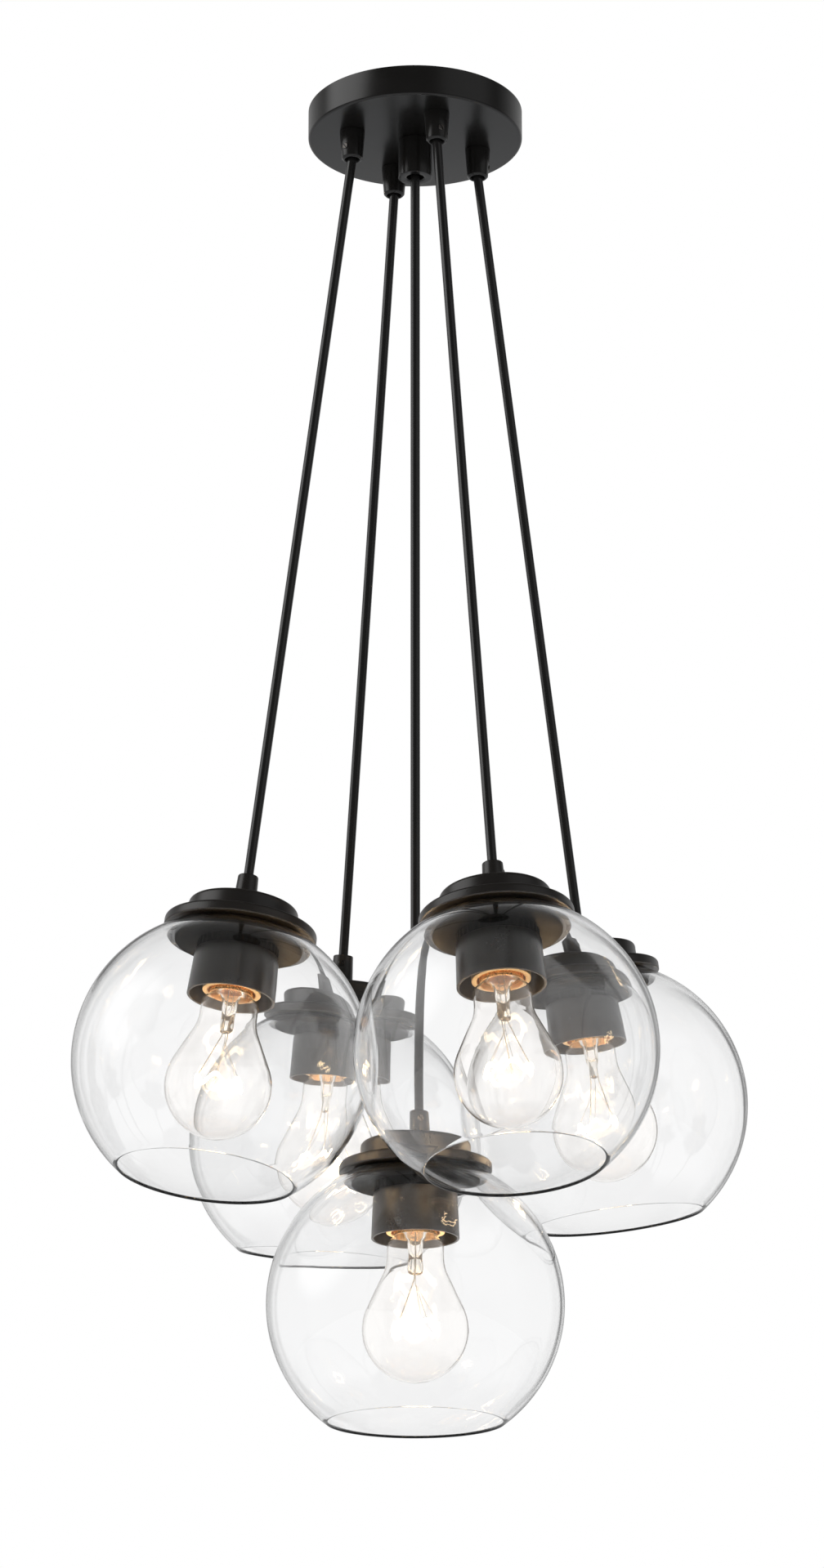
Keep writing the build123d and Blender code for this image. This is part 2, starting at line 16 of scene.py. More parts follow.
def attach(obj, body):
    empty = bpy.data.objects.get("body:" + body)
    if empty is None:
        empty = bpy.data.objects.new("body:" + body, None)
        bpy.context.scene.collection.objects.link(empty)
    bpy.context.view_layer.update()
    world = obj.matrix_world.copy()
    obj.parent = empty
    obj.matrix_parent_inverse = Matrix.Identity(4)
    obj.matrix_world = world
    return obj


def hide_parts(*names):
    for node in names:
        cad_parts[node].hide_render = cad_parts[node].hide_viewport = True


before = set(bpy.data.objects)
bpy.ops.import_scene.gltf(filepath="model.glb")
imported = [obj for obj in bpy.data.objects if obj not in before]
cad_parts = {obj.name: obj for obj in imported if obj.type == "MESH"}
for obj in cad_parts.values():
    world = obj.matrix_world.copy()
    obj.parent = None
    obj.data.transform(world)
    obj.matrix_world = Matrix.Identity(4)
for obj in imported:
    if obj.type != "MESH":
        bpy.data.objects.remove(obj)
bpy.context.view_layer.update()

# %% [markdown]
# ## Where the pendants hang
# Each outer cord leaves its grip on a small circle under the canopy and leans out to a globe on a larger
# circle, where the four globes rest against each other. The middle cord is plumb. One matrix for each
# pendant has its origin at the globe's centre and its Z axis up the cord, so a pendant is drawn once,
# upright, and then placed.

# %% Pendant places
mm = 0.001
canopy_height = 18.5 * mm
grip_length = 17.8 * mm
grip_mouth = -canopy_height - grip_length
pivot_inset = 1.2 * mm
grip_circle = 39.3 * mm
globe_circle = 167.5 * mm / math.sqrt(2)
first_grip_angle = -71.3
globe_turn = 6.0
globe_drops = (604.5 * mm, 597.0 * mm, 604.5 * mm, 596.5 * mm)
nipple_foot = -32.0 * mm
middle_drop = 723.7 * mm


def around_axis(radius, degrees, height):
    angle = math.radians(degrees)
    return Vector((radius * math.cos(angle), radius * math.sin(angle), height))


grip_angles = [first_grip_angle + 90 * i for i in range(4)]
pivots = [around_axis(grip_circle, angle, grip_mouth + pivot_inset) for angle in grip_angles]
centers = [around_axis(globe_circle, angle + globe_turn, -drop)
           for angle, drop in zip(grip_angles, globe_drops)]
pivots.append(Vector((0, 0, nipple_foot)))
centers.append(Vector((0, 0, -middle_drop)))


def hang_matrix(pivot, center):
    up = (pivot - center).normalized()
    side = Vector((0, 1, 0)).cross(up).normalized()
    turned = Matrix((side, up.cross(side), up)).transposed().to_4x4()
    return Matrix.Translation(center) @ turned


hangs = [hang_matrix(pivot, center) for pivot, center in zip(pivots, centers)]
leans = [(pivot - center).angle(Vector((0, 0, 1))) for pivot, center in zip(pivots, centers)]
print("leans:", [round(math.degrees(lean), 2) for lean in leans])

# %% [markdown]
# ## Camera
# The photograph was taken from below the globes, with a long lens tilted up a little and its frame shifted
# up. The place, the lens and the shift come from fitting the canopy, the caps and the rims to their places
# in it.

# %% Camera
def new_object(name, data):
    made = bpy.data.objects.new(name, data)
    bpy.context.collection.objects.link(made)
    return made


camera_data = bpy.data.cameras.new("camera")
camera_data.lens = 109.66
camera_data.sensor_width = 36.0
camera_data.shift_y = 0.2033
camera_data.clip_start = 0.05
camera_data.clip_end = 60.0
camera = new_object("camera", camera_data)
camera.location = (-0.0019, -2.6173, -1.2600)
camera.rotation_euler = (math.radians(104.0), 0.0, 0.0)
bpy.context.scene.camera = camera
print("camera:", tuple(round(x, 3) for x in camera.location), "lens", camera_data.lens)

# %% [markdown]
# ## Finishes
# A finish is a Principled shader whose colour, roughness and bump come from noise in the piece's own space.
# The same two effects turn up in many finishes, so each is a node group with its own values in each
# material: a fine grain for paint, plastic and metal, and a slow ripple for blown glass.

# %% Node group helpers
# A Mix node in colour mode has its two colours and its result at these places among its sockets.
color_a, color_b, color_result = 6, 7, 2


def new_group(name, inputs, outputs):
    group = bpy.data.node_groups.new(name, "ShaderNodeTree")
    for label, kind, value in inputs:
        socket = group.interface.new_socket(name=label, in_out="INPUT", socket_type=kind)
        if value is not None:
            socket.default_value = value
    for label, kind in outputs:
        group.interface.new_socket(name=label, in_out="OUTPUT", socket_type=kind)
    return group, group.nodes.new("NodeGroupInput"), group.nodes.new("NodeGroupOutput")


def add_noise(tree, vector, scale, detail):
    noise = tree.nodes.new("ShaderNodeTexNoise")
    noise.inputs["Scale"].default_value = scale
    noise.inputs["Detail"].default_value = detail
    tree.links.new(vector, noise.inputs["Vector"])
    return noise


# %% Fine grain
grain, grain_in, grain_out = new_group(
    "fine_grain",
    [
        ("Vector", "NodeSocketVector", None),
        ("Dark", "NodeSocketColor", (0.01, 0.01, 0.01, 1)),
        ("Light", "NodeSocketColor", (0.02, 0.02, 0.02, 1)),
        ("Smooth", "NodeSocketFloat", 0.3),
        ("Rough", "NodeSocketFloat", 0.5),
        ("Scale", "NodeSocketFloat", 900.0),
    ],
    [("Color", "NodeSocketColor"), ("Roughness", "NodeSocketFloat"), ("Height", "NodeSocketFloat")],
)
link = grain.links.new
fine = add_noise(grain, grain_in.outputs["Vector"], 900.0, 3.0)
link(grain_in.outputs["Scale"], fine.inputs["Scale"])
broad = add_noise(grain, grain_in.outputs["Vector"], 45.0, 4.0)
both = grain.nodes.new("ShaderNodeMix")
both.inputs["Factor"].default_value = 0.45
link(broad.outputs["Fac"], both.inputs["A"])
link(fine.outputs["Fac"], both.inputs["B"])
shade = grain.nodes.new("ShaderNodeMix")
shade.data_type = "RGBA"
link(both.outputs["Result"], shade.inputs["Factor"])
link(grain_in.outputs["Dark"], shade.inputs[color_a])
link(grain_in.outputs["Light"], shade.inputs[color_b])
spread = grain.nodes.new("ShaderNodeMapRange")
spread.inputs["From Min"].default_value = 0.3
spread.inputs["From Max"].default_value = 0.7
link(both.outputs["Result"], spread.inputs["Value"])
link(grain_in.outputs["Smooth"], spread.inputs["To Min"])
link(grain_in.outputs["Rough"], spread.inputs["To Max"])
link(shade.outputs[color_result], grain_out.inputs["Color"])
link(spread.outputs["Result"], grain_out.inputs["Roughness"])
link(fine.outputs["Fac"], grain_out.inputs["Height"])
print("group:", grain.name, len(grain.nodes), "nodes")

# %% Blown ripple
ripple, ripple_in, ripple_out = new_group(
    "blown_ripple",
    [("Vector", "NodeSocketVector", None), ("Scale", "NodeSocketFloat", 14.0)],
    [("Height", "NodeSocketFloat")],
)
slow = add_noise(ripple, ripple_in.outputs["Vector"], 14.0, 1.5)
slow.inputs["Distortion"].default_value = 0.6
ripple.links.new(ripple_in.outputs["Scale"], slow.inputs["Scale"])
ripple.links.new(slow.outputs["Fac"], ripple_out.inputs["Height"])
print("group:", ripple.name, len(ripple.nodes), "nodes")


# %% [markdown]
# The black metal is a satin powder coat: nearly black, with a fine grain that spreads its highlights. The
# cord has a smooth plastic jacket in much the same colour. Brass, steel and ceramic use the same grain with
# other values.

# %% Grained finishes
grain_depth = 0.4 * mm


def grained(name, dark, light, smooth, rough, scale, bump, metallic=0.0, specular=0.5):
    material = bpy.data.materials.new(name)
    material.use_nodes = True
    tree = material.node_tree
    link = tree.links.new
    shader = tree.nodes["Principled BSDF"]
    shader.inputs["Metallic"].default_value = metallic
    shader.inputs["Specular IOR Level"].default_value = specular
    place = tree.nodes.new("ShaderNodeTexCoord")
    effect = tree.nodes.new("ShaderNodeGroup")
    effect.node_tree = grain
    effect.inputs["Dark"].default_value = (*dark, 1)
    effect.inputs["Light"].default_value = (*light, 1)
    effect.inputs["Smooth"].default_value = smooth
    effect.inputs["Rough"].default_value = rough
    effect.inputs["Scale"].default_value = scale
    relief = tree.nodes.new("ShaderNodeBump")
    relief.inputs["Strength"].default_value = bump
    relief.inputs["Distance"].default_value = grain_depth
    link(place.outputs["Object"], effect.inputs["Vector"])
    link(effect.outputs["Color"], shader.inputs["Base Color"])
    link(effect.outputs["Roughness"], shader.inputs["Roughness"])
    link(effect.outputs["Height"], relief.inputs["Height"])
    link(relief.outputs["Normal"], shader.inputs["Normal"])
    return material


satin_black = grained("satin_black", (0.0045, 0.0042, 0.0038), (0.0095, 0.0088, 0.0080), 0.20, 0.27,
                      1100, 0.015, specular=0.55)
# The pendant metalwork is the same black coat as the canopy, made lighter and warmer here: painted light
# standing in for the light that falls on the pendants.
lit_pendant_black = grained("lit_pendant_black", (0.0100, 0.0090, 0.0079), (0.0180, 0.0160, 0.0141), 0.26, 0.34,
                        1100, 0.015, specular=0.55)
ring_black = grained("ring_black", (0.006, 0.006, 0.006), (0.012, 0.011, 0.010), 0.50, 0.66,
                     1500, 0.06, specular=0.12)
screw_black = grained("screw_black", (0.07, 0.065, 0.06), (0.14, 0.13, 0.12), 0.18, 0.30,
                      1800, 0.05, metallic=1.0)
jacket_black = grained("jacket_black", (0.008, 0.008, 0.008), (0.011, 0.0105, 0.010), 0.16, 0.22,
                       250, 0.0, specular=0.60)
zinc_steel = grained("zinc_steel", (0.42, 0.42, 0.40), (0.62, 0.61, 0.58), 0.25, 0.45,
                     600, 0.12, metallic=1.0)
green_paint = grained("green_paint", (0.01, 0.12, 0.03), (0.02, 0.20, 0.06), 0.25, 0.40, 900, 0.06)
cream_ceramic = grained("cream_ceramic", (0.66, 0.55, 0.38), (0.80, 0.70, 0.52), 0.30, 0.50, 700, 0.08)
warm_brass = grained("warm_brass", (0.70, 0.40, 0.16), (0.86, 0.56, 0.27), 0.20, 0.38,
                     900, 0.08, metallic=1.0)
lead_nickel = grained("lead_nickel", (0.45, 0.42, 0.38), (0.66, 0.62, 0.56), 0.20, 0.35,
                      2500, 0.05, metallic=1.0)
tip_black = grained("tip_black", (0.010, 0.010, 0.014), (0.022, 0.022, 0.028), 0.10, 0.22, 900, 0.05)
tip_solder = grained("tip_solder", (0.50, 0.49, 0.46), (0.68, 0.66, 0.62), 0.22, 0.42,
                     1800, 0.15, metallic=1.0)
core_copper = grained("core_copper", (0.60, 0.26, 0.13), (0.80, 0.40, 0.22), 0.22, 0.40,
                      2500, 0.10, metallic=1.0)
core_white = grained("core_white", (0.66, 0.65, 0.62), (0.80, 0.79, 0.76), 0.35, 0.50, 1200, 0.06)
print("grained finishes:", len(bpy.data.materials))

# %% [markdown]
# Clear glass is a Principled shader with full transmission over a wall of real thickness, so the bending
# and the bright and dark lines at its edges come from the shape. A weak absorption in the volume greys the
# long paths along the wall, which draws the thin outline of each globe. Lamps shine through: for shadow
# rays the glass is simply clear. A bulb's glass also has a painted glow, an emission that is no lamp,
# stronger near the filament, as its vertices' glow weight says.

# %% Clear glass
ripple_depth = 2.0 * mm
# Colours of the painted glow on bulb glass: a faint one and a stronger one.
cool_painted_glow = (1.0, 0.76, 0.52)
hot_painted_glow = (1.0, 0.80, 0.56)


def clear_glass(name, tint, density, scale, strength, ior=1.5, glow=None):
    material = bpy.data.materials.new(name)
    material.use_nodes = True
    tree = material.node_tree
    link = tree.links.new
    shader = tree.nodes["Principled BSDF"]
    output = tree.nodes["Material Output"]
    shader.inputs["Base Color"].default_value = (1, 1, 1, 1)
    shader.inputs["Roughness"].default_value = 0.0
    shader.inputs["IOR"].default_value = ior
    shader.inputs["Transmission Weight"].default_value = 1.0
    # Painted glow: a warm emission on the bulb glass, blended from the faint to the strong colour by the
    # vertices' glow weight.
    if glow:
        shader.inputs["Emission Strength"].default_value = 1.0
        heat = tree.nodes.new("ShaderNodeAttribute")
        heat.attribute_name = "heat"
        warmth = tree.nodes.new("ShaderNodeMix")
        warmth.data_type = "RGBA"
        warmth.inputs[color_a].default_value = (*[glow[0] * part for part in cool_painted_glow], 1)
        warmth.inputs[color_b].default_value = (*[glow[1] * part for part in hot_painted_glow], 1)
        link(heat.outputs["Fac"], warmth.inputs["Factor"])
        link(warmth.outputs[color_result], shader.inputs["Emission Color"])
    place = tree.nodes.new("ShaderNodeTexCoord")
    effect = tree.nodes.new("ShaderNodeGroup")
    effect.node_tree = ripple
    effect.inputs["Scale"].default_value = scale
    relief = tree.nodes.new("ShaderNodeBump")
    relief.inputs["Strength"].default_value = strength
    relief.inputs["Distance"].default_value = ripple_depth
    link(place.outputs["Object"], effect.inputs["Vector"])
    link(effect.outputs["Height"], relief.inputs["Height"])
    link(relief.outputs["Normal"], shader.inputs["Normal"])
    through = tree.nodes.new("ShaderNodeBsdfTransparent")
    path = tree.nodes.new("ShaderNodeLightPath")
    choice = tree.nodes.new("ShaderNodeMixShader")
    link(path.outputs["Is Shadow Ray"], choice.inputs["Fac"])
    link(shader.outputs["BSDF"], choice.inputs[1])
    link(through.outputs["BSDF"], choice.inputs[2])
    link(choice.outputs["Shader"], output.inputs["Surface"])
    absorb = tree.nodes.new("ShaderNodeVolumeAbsorption")
    absorb.inputs["Color"].default_value = (*tint, 1)
    absorb.inputs["Density"].default_value = density
    link(absorb.outputs["Volume"], output.inputs["Volume"])
    return material


globe_glass = clear_glass("globe_glass", (0.80, 0.81, 0.82), density=25.0, scale=16.0, strength=0.10)
# The bulb's envelope and stem get the painted glow; the globe has none.
envelope_glass = clear_glass("envelope_glass", (0.86, 0.74, 0.60), density=20.0, scale=40.0, strength=0.05,
                             ior=1.3, glow=(0.014, 0.050))
stem_glass = clear_glass("stem_glass", (0.80, 0.74, 0.62), density=60.0, scale=120.0, strength=0.20,
                         glow=(0.03, 0.22))
print("glass:", globe_glass.name, envelope_glass.name, stem_glass.name)

# %% [markdown]
# The filament is the lamp's light: a bright warm emission that clips to white in the picture, as in the
# photograph.

# %% Filament light
filament_light = bpy.data.materials.new("filament_light")
filament_light.use_nodes = True
filament_shader = filament_light.node_tree.nodes["Principled BSDF"]
filament_shader.inputs["Base Color"].default_value = (0.2, 0.15, 0.1, 1)
filament_shader.inputs["Emission Color"].default_value = (1.0, 0.78, 0.48, 1)
filament_shader.inputs["Emission Strength"].default_value = 75.0
filament_light.cycles.emission_sampling = "NONE"
print("light:", filament_light.name)

# %% [markdown]
# ## Cords
# A pendant's weight pulls its cord straight, so each cord is a smooth curve through three points in line:
# the mouth of the canopy grip, the middle, and the foot inside the pendant's own grip.

# %% Cords
cord_diameter = 5.5 * mm
cap_top = 92.8 * mm
cord_foot = cap_top + 0.3 * mm


def make_cord(number, top, foot, body):
    line = bpy.data.curves.new(f"cord_{number}_jacket", "CURVE")
    line.dimensions = "3D"
    line.bevel_depth = cord_diameter / 2
    line.bevel_resolution = 6
    line.use_fill_caps = True
    spline = line.splines.new("NURBS")
    route = [top, (top + foot) / 2, foot]
    spline.points.add(len(route) - 1)
    for point, place in zip(spline.points, route):
        point.co = (*place, 1)
    spline.order_u = 3
    spline.use_endpoint_u = True
    line.materials.append(jacket_black)
    cord = new_object(line.name, line)
    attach(cord, body)
    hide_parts(f"cord_{number}")


for number, (pivot, hang) in enumerate(zip(pivots, hangs), start=1):
    body = f"drop_{number}" if number < len(hangs) else "fixture"
    make_cord(number, pivot, hang @ Vector((0, 0, cord_foot)), body)

# %% [markdown]
# ## Turned pieces
# Nearly everything here is round, as it comes off a lathe, a spinning chuck or a glassblower's pipe. A
# turned piece starts as one point, is drawn as half a section with lines and arcs, and is then spun round
# the Z axis. Corners get a small bevel, because a real edge always catches a line of light.

# %% Drawing a section
def start_section(radius, height):
    bm = bmesh.new()
    return bm, bm.verts.new((radius, 0, height))


def line_to(bm, tip, *corners):
    for radius, height in corners:
        tip = bmesh.ops.extrude_vert_indiv(bm, verts=[tip])["verts"][0]
        tip.co = (radius, 0, height)
    return tip


def vertices(geometry):
    return [g for g in geometry if isinstance(g, bmesh.types.BMVert)]


def arc_to(bm, tip, center, degrees, steps):
    made = bmesh.ops.spin(bm, geom=[tip], cent=(center[0], 0, center[1]), axis=(0, 1, 0),
                          angle=math.radians(degrees), steps=steps)
    return vertices(made["geom_last"])[0]


def face_outward(bm):
    bmesh.ops.recalc_face_normals(bm, faces=bm.faces[:])


def turn(bm, around):
    bmesh.ops.spin(bm, geom=bm.verts[:] + bm.edges[:], cent=(0, 0, 0), axis=(0, 0, 1), angle=math.tau,
                   steps=around, use_merge=True)
    bmesh.ops.remove_doubles(bm, verts=bm.verts[:], dist=1e-6)
    bmesh.ops.dissolve_degenerate(bm, edges=bm.edges[:], dist=1e-7)
    face_outward(bm)


def soften(bm, width, segments=3, over=28):
    sharp = [e for e in bm.edges if len(e.link_faces) == 2 and e.calc_face_angle() > math.radians(over)]
    bmesh.ops.bevel(bm, geom=sharp, offset=width, offset_type="OFFSET", affect="EDGES", segments=segments,
                    profile=0.5, material=-1, clamp_overlap=True)


def turned(corners, around, width, segments=3, closed=True):
    bm, first = start_section(*corners[0])
    last = line_to(bm, first, *corners[1:])
    if closed:
        bm.edges.new((last, first))
    turn(bm, around)
    if width:
        soften(bm, width, segments)
    return bm


def rod(radius, low, high, around, width):
    return turned([(0, low), (radius, low), (radius, high), (0, high)], around, width, closed=False)


def tube(inner, outer, low, high, around=48, width=0.2 * mm):
    return turned([(inner, low), (outer, low), (outer, high), (inner, high)], around, width, 2)


def from_level(level, *corners):
    return [(radius * mm, level + height * mm) for radius, height in corners]


# %% Placing a piece
def place_piece(bm, name, material, body, nodes, matrix=Matrix.Identity(4), crease=40):
    bmesh.ops.transform(bm, matrix=matrix, verts=bm.verts[:])
    for face in bm.faces:
        face.smooth = True
    for edge in bm.edges:
        edge.smooth = len(edge.link_faces) == 2 and edge.calc_face_angle(0) < math.radians(crease)
    mesh = bpy.data.meshes.new(name)
    bm.to_mesh(mesh)
    bm.free()
    mesh.materials.append(material)
    piece = new_object(name, mesh)
    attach(piece, body)
    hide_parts(*nodes)
    return piece


def place_part(bm, number, name, material, body, node, matrix, crease=40):
    return place_piece(bm, name.format(number), material, f"{body}_{number}", [f"{node}_{number}"],
                       matrix, crease)


def join_into(target, source, matrix=Matrix.Identity(4)):
    bmesh.ops.transform(source, matrix=matrix, verts=source.verts[:])
    held = bpy.data.meshes.new("held")
    source.to_mesh(held)
    source.free()
    target.from_mesh(held)
    bpy.data.meshes.remove(held)


# %% [markdown]
# ## Canopy
# The canopy is a shallow cup spun from sheet metal, open towards the ceiling, with a small round edge
# below.

# %% Canopy
canopy_radius = 63.5 * mm
canopy_wall = 1.4 * mm
canopy_floor = -canopy_height + canopy_wall
canopy_inside = canopy_radius - canopy_wall
edge_round = 1.6 * mm
edge_chamfer = 0.4 * mm
floor_chamfer = 1.0 * mm
bm, tip = start_section(0, -canopy_height)
tip = line_to(bm, tip, (canopy_radius - edge_round, -canopy_height))
tip = arc_to(bm, tip, (canopy_radius - edge_round, -canopy_height + edge_round), -90, 8)
line_to(bm, tip, (canopy_radius, -edge_chamfer), (canopy_radius - edge_chamfer, 0), (canopy_inside, 0),
        (canopy_inside, canopy_floor + floor_chamfer), (canopy_inside - floor_chamfer, canopy_floor),
        (0, canopy_floor))
turn(bm, 160)
canopy = place_piece(bm, "canopy_cup", satin_black, "fixture", ["canopy"])
print("canopy:", len(canopy.data.polygons), "faces")

# %% [markdown]
# ## Middle collar and its nipple
# The larger plain sleeve in the middle screws up a hollow threaded rod and pulls the canopy to the ceiling.
# Its mouth is countersunk round the middle cord.

# %% Middle collar
collar_radius = 9.9 * mm
collar_length = 23.6 * mm
collar_foot = -canopy_height - collar_length
collar_bore = 4.9 * mm
countersink = 0.8 * mm
bm = turned([(collar_bore, -canopy_height), (collar_radius, -canopy_height), (collar_radius, collar_foot),
             (collar_bore + countersink, collar_foot), (collar_bore, collar_foot + countersink)],
            96, 0.45 * mm, 4)
collar = place_piece(bm, "middle_collar", satin_black, "fixture", ["center_collar"])
print("collar:", len(collar.data.polygons), "faces")


# %% [markdown]
# A screw thread is a zigzag of one pitch, spun round the axis while it climbs: spin's dvec moves each step
# up.

# %% Threaded rods
def threaded(radius, depth, pitch, low, high, around=32):
    crest_start, crest_end, root_start = 0.35 * pitch, 0.55 * pitch, 0.9 * pitch
    turns = int((high - low) / pitch) - 1
    margin = (high - low - pitch * (turns + 1)) / 2
    bm, tip = start_section(radius - depth, 0)
    line_to(bm, tip, (radius, crest_start), (radius, crest_end), (radius - depth, root_start),
            (radius - depth, pitch))
    bmesh.ops.translate(bm, verts=bm.verts[:], vec=(0, 0, low + margin))
    bmesh.ops.spin(bm, geom=bm.verts[:] + bm.edges[:], cent=(0, 0, 0), axis=(0, 0, 1),
                   angle=math.tau * turns, steps=around * turns, dvec=(0, 0, pitch / around))
    bmesh.ops.remove_doubles(bm, verts=bm.verts[:], dist=1e-6)
    face_outward(bm)
    return bm


rod_thread = 4.8 * mm
rod_pitch = 1.0 * mm
bm = tube(3.3 * mm, 4.35 * mm, nipple_foot, 0.0)
join_into(bm, threaded(rod_thread, 0.45 * mm, rod_pitch, nipple_foot + 0.5 * mm, -0.3 * mm))
nipple = place_piece(bm, "threaded_nipple", zinc_steel, "fixture", ["center_nipple"])
print("nipple:", len(nipple.data.polygons), "faces")

# %% [markdown]
# ## Canopy grips
# Four tapered clamps hold the outer cords. Each has a chamfered mouth below, a slotted set screw low on its
# side and a threaded stem that goes up through the canopy floor.

# %% Canopy grips
cord_bore = 2.85 * mm
stem_length = 6.0 * mm
grips = bmesh.new()
stems = bmesh.new()
for pivot in pivots[:4]:
    place = Matrix.Translation((pivot.x, pivot.y, 0))
    mouth = from_level(grip_mouth, (6.2, 1.1), (5.1, 0), (4.6, 0), (3.6, 2.2), (3.6, 5.2), (2.85, 5.2))
    grip = turned([(cord_bore, -canopy_height), (7.5 * mm, -canopy_height), *mouth], 64, 0.25 * mm)
    join_into(grips, grip, place)
    join_into(stems, tube(cord_bore, 4.4 * mm, -canopy_height, canopy_floor + stem_length), place)
    thread = threaded(rod_thread, 0.4 * mm, rod_pitch, canopy_floor, canopy_floor + stem_length - 0.2 * mm)
    join_into(stems, thread, place)
canopy_grips = place_piece(grips, "canopy_grip_bodies", satin_black, "fixture",
                           ["canopy_grips"])
grip_stems = place_piece(stems, "canopy_grip_stems", zinc_steel, "fixture", ["canopy_grips"])
print("canopy grips:", len(canopy_grips.data.polygons), "faces; stems", len(grip_stems.data.polygons))


# %% [markdown]
# A set screw is a short rod with a slot across its end. The slot is cut by two planes, and the strip
# between them is pushed in.

# %% Set screws
screw_radius = 1.9 * mm
screw_chamfer = 0.3 * mm
slot_width = 0.8 * mm
slot_depth = 0.9 * mm
slot_turn = 35.0
canopy_screw_turns = (4.0, -14.0, 0.0, 34.0)


def slotted_screw(low, high):
    bm = turned([(0, low), (screw_radius, low), (screw_radius, high - screw_chamfer),
                 (screw_radius - screw_chamfer, high), (0, high)], 40, 0, closed=False)
    for side in (-1, 1):
        bmesh.ops.bisect_plane(bm, geom=bm.verts[:] + bm.edges[:] + bm.faces[:],
                               plane_co=(side * slot_width / 2, 0, 0), plane_no=(1, 0, 0))
    end_faces = [f for f in bm.faces if f.calc_center_median().z > high - screw_chamfer]
    strip = [f for f in end_faces if abs(f.calc_center_median().x) < slot_width / 2]
    pushed = bmesh.ops.extrude_face_region(bm, geom=strip)["geom"]
    bmesh.ops.delete(bm, geom=strip, context="FACES")
    bmesh.ops.translate(bm, verts=vertices(pushed), vec=(0, 0, -slot_depth))
    face_outward(bm)
    return bm


def screw_matrix(foot, up, degrees):
    flat = around_axis(1.0, degrees, 0)
    out = (flat - up * flat.dot(up)).normalized()
    facing = Matrix((up.cross(out), up, out)).transposed().to_4x4()
    return Matrix.Translation(foot) @ facing @ Matrix.Rotation(math.radians(slot_turn), 4, "Z")


screws = bmesh.new()
for pivot, grip_angle, turn_by in zip(pivots, grip_angles, canopy_screw_turns):
    foot = Vector((pivot.x, pivot.y, -canopy_height - 11.0 * mm))
    screw = slotted_screw(cord_bore, 7.05 * mm)
    join_into(screws, screw, screw_matrix(foot, Vector((0, 0, 1)), grip_angle + turn_by))
canopy_screws = place_piece(screws, "canopy_set_screws", screw_black, "fixture",
                            ["canopy_grip_screws"])
print("set screws:", len(canopy_screws.data.polygons), "faces")

# %% [markdown]
# ## Inside the canopy
# Seen from above, the canopy holds the mounting bar, nuts, a green ground screw and the cords' cut ends.
# The bar, the nuts and the screw keep their solids and get metal finishes. Each cord end is a jacket with
# three cores.

# %% Inside the canopy
hidden_finishes = {"mounting_bar": zinc_steel, "nipple_nut": zinc_steel, "canopy_grip_nuts": zinc_steel,
                   "ground_screw": green_paint}
for node, material in hidden_finishes.items():
    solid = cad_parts[node]
    solid.data.materials.clear()
    solid.data.materials.append(material)

jacket_end = -8.0 * mm
core_circle = 1.35 * mm
jackets = bmesh.new()
white_cores = bmesh.new()
copper_ends = bmesh.new()
for pivot in pivots:
    middle = Vector((pivot.x, pivot.y, 0))
    jacket = rod(cord_diameter / 2, pivot.z + 3.1 * mm, jacket_end, 32, 0.3 * mm)
    join_into(jackets, jacket, Matrix.Translation(middle))
    for core in range(3):
        place = Matrix.Translation(around_axis(core_circle, 120 * core + 20, 0) + middle)
        join_into(white_cores, rod(0.95 * mm, jacket_end - 0.5 * mm, -6.2 * mm, 16, 0.15 * mm), place)
        join_into(copper_ends, rod(0.6 * mm, -6.4 * mm, -5.0 * mm, 16, 0.15 * mm), place)
place_piece(jackets, "cord_tail_jackets", jacket_black, "fixture", ["cord_tails"])
place_piece(white_cores, "cord_tail_cores", core_white, "fixture", ["cord_tails"])
place_piece(copper_ends, "cord_tail_ends", core_copper, "fixture", ["cord_tails"])
print("cord tails: 5 jackets, 15 cores")

# %% [markdown]
# ## Pendant metalwork
# From the top down: a tapered grip on the cord, a round-edged disc, a wider flange over the glass, a fluted
# ring with a wide plate inside the glass that clamps it, and a cup round the lamp socket, slightly wider at
# its lip.

# %% Pendant levels
seat = 74.0 * mm
flange_foot = seat + 0.8 * mm
tier_foot = flange_foot + 6.0 * mm
grip_top = cap_top + 18.0 * mm
ring_top = 71.0 * mm
ring_foot = ring_top - 7.0 * mm
lip = ring_foot - 26.0 * mm
ring_bore = 20.1 * mm
screw_headings = (20.0, 0.0, -95.0, 100.0, -80.0)


# %% Cord grip, cap, ring and cup
def make_cord_grip(number, hang):
    bm = turned([(cord_bore, cap_top), (6.6 * mm, cap_top), (5.8 * mm, grip_top - 0.5 * mm),
                 (5.3 * mm, grip_top), (cord_bore, grip_top)], 64, 0.25 * mm)
    place_part(bm, number, "cord_grip_{}_body", lit_pendant_black, "pendant", "cord_grip", hang)
    up = hang.to_3x3() @ Vector((0, 0, 1))
    foot = hang @ Vector((0, 0, grip_top - 5.2 * mm))
    screw = slotted_screw(cord_bore, 6.35 * mm)
    place_part(screw, number, "cord_grip_{}_screw", screw_black, "pendant", "cord_grip",
               screw_matrix(foot, up, screw_headings[number - 1]))


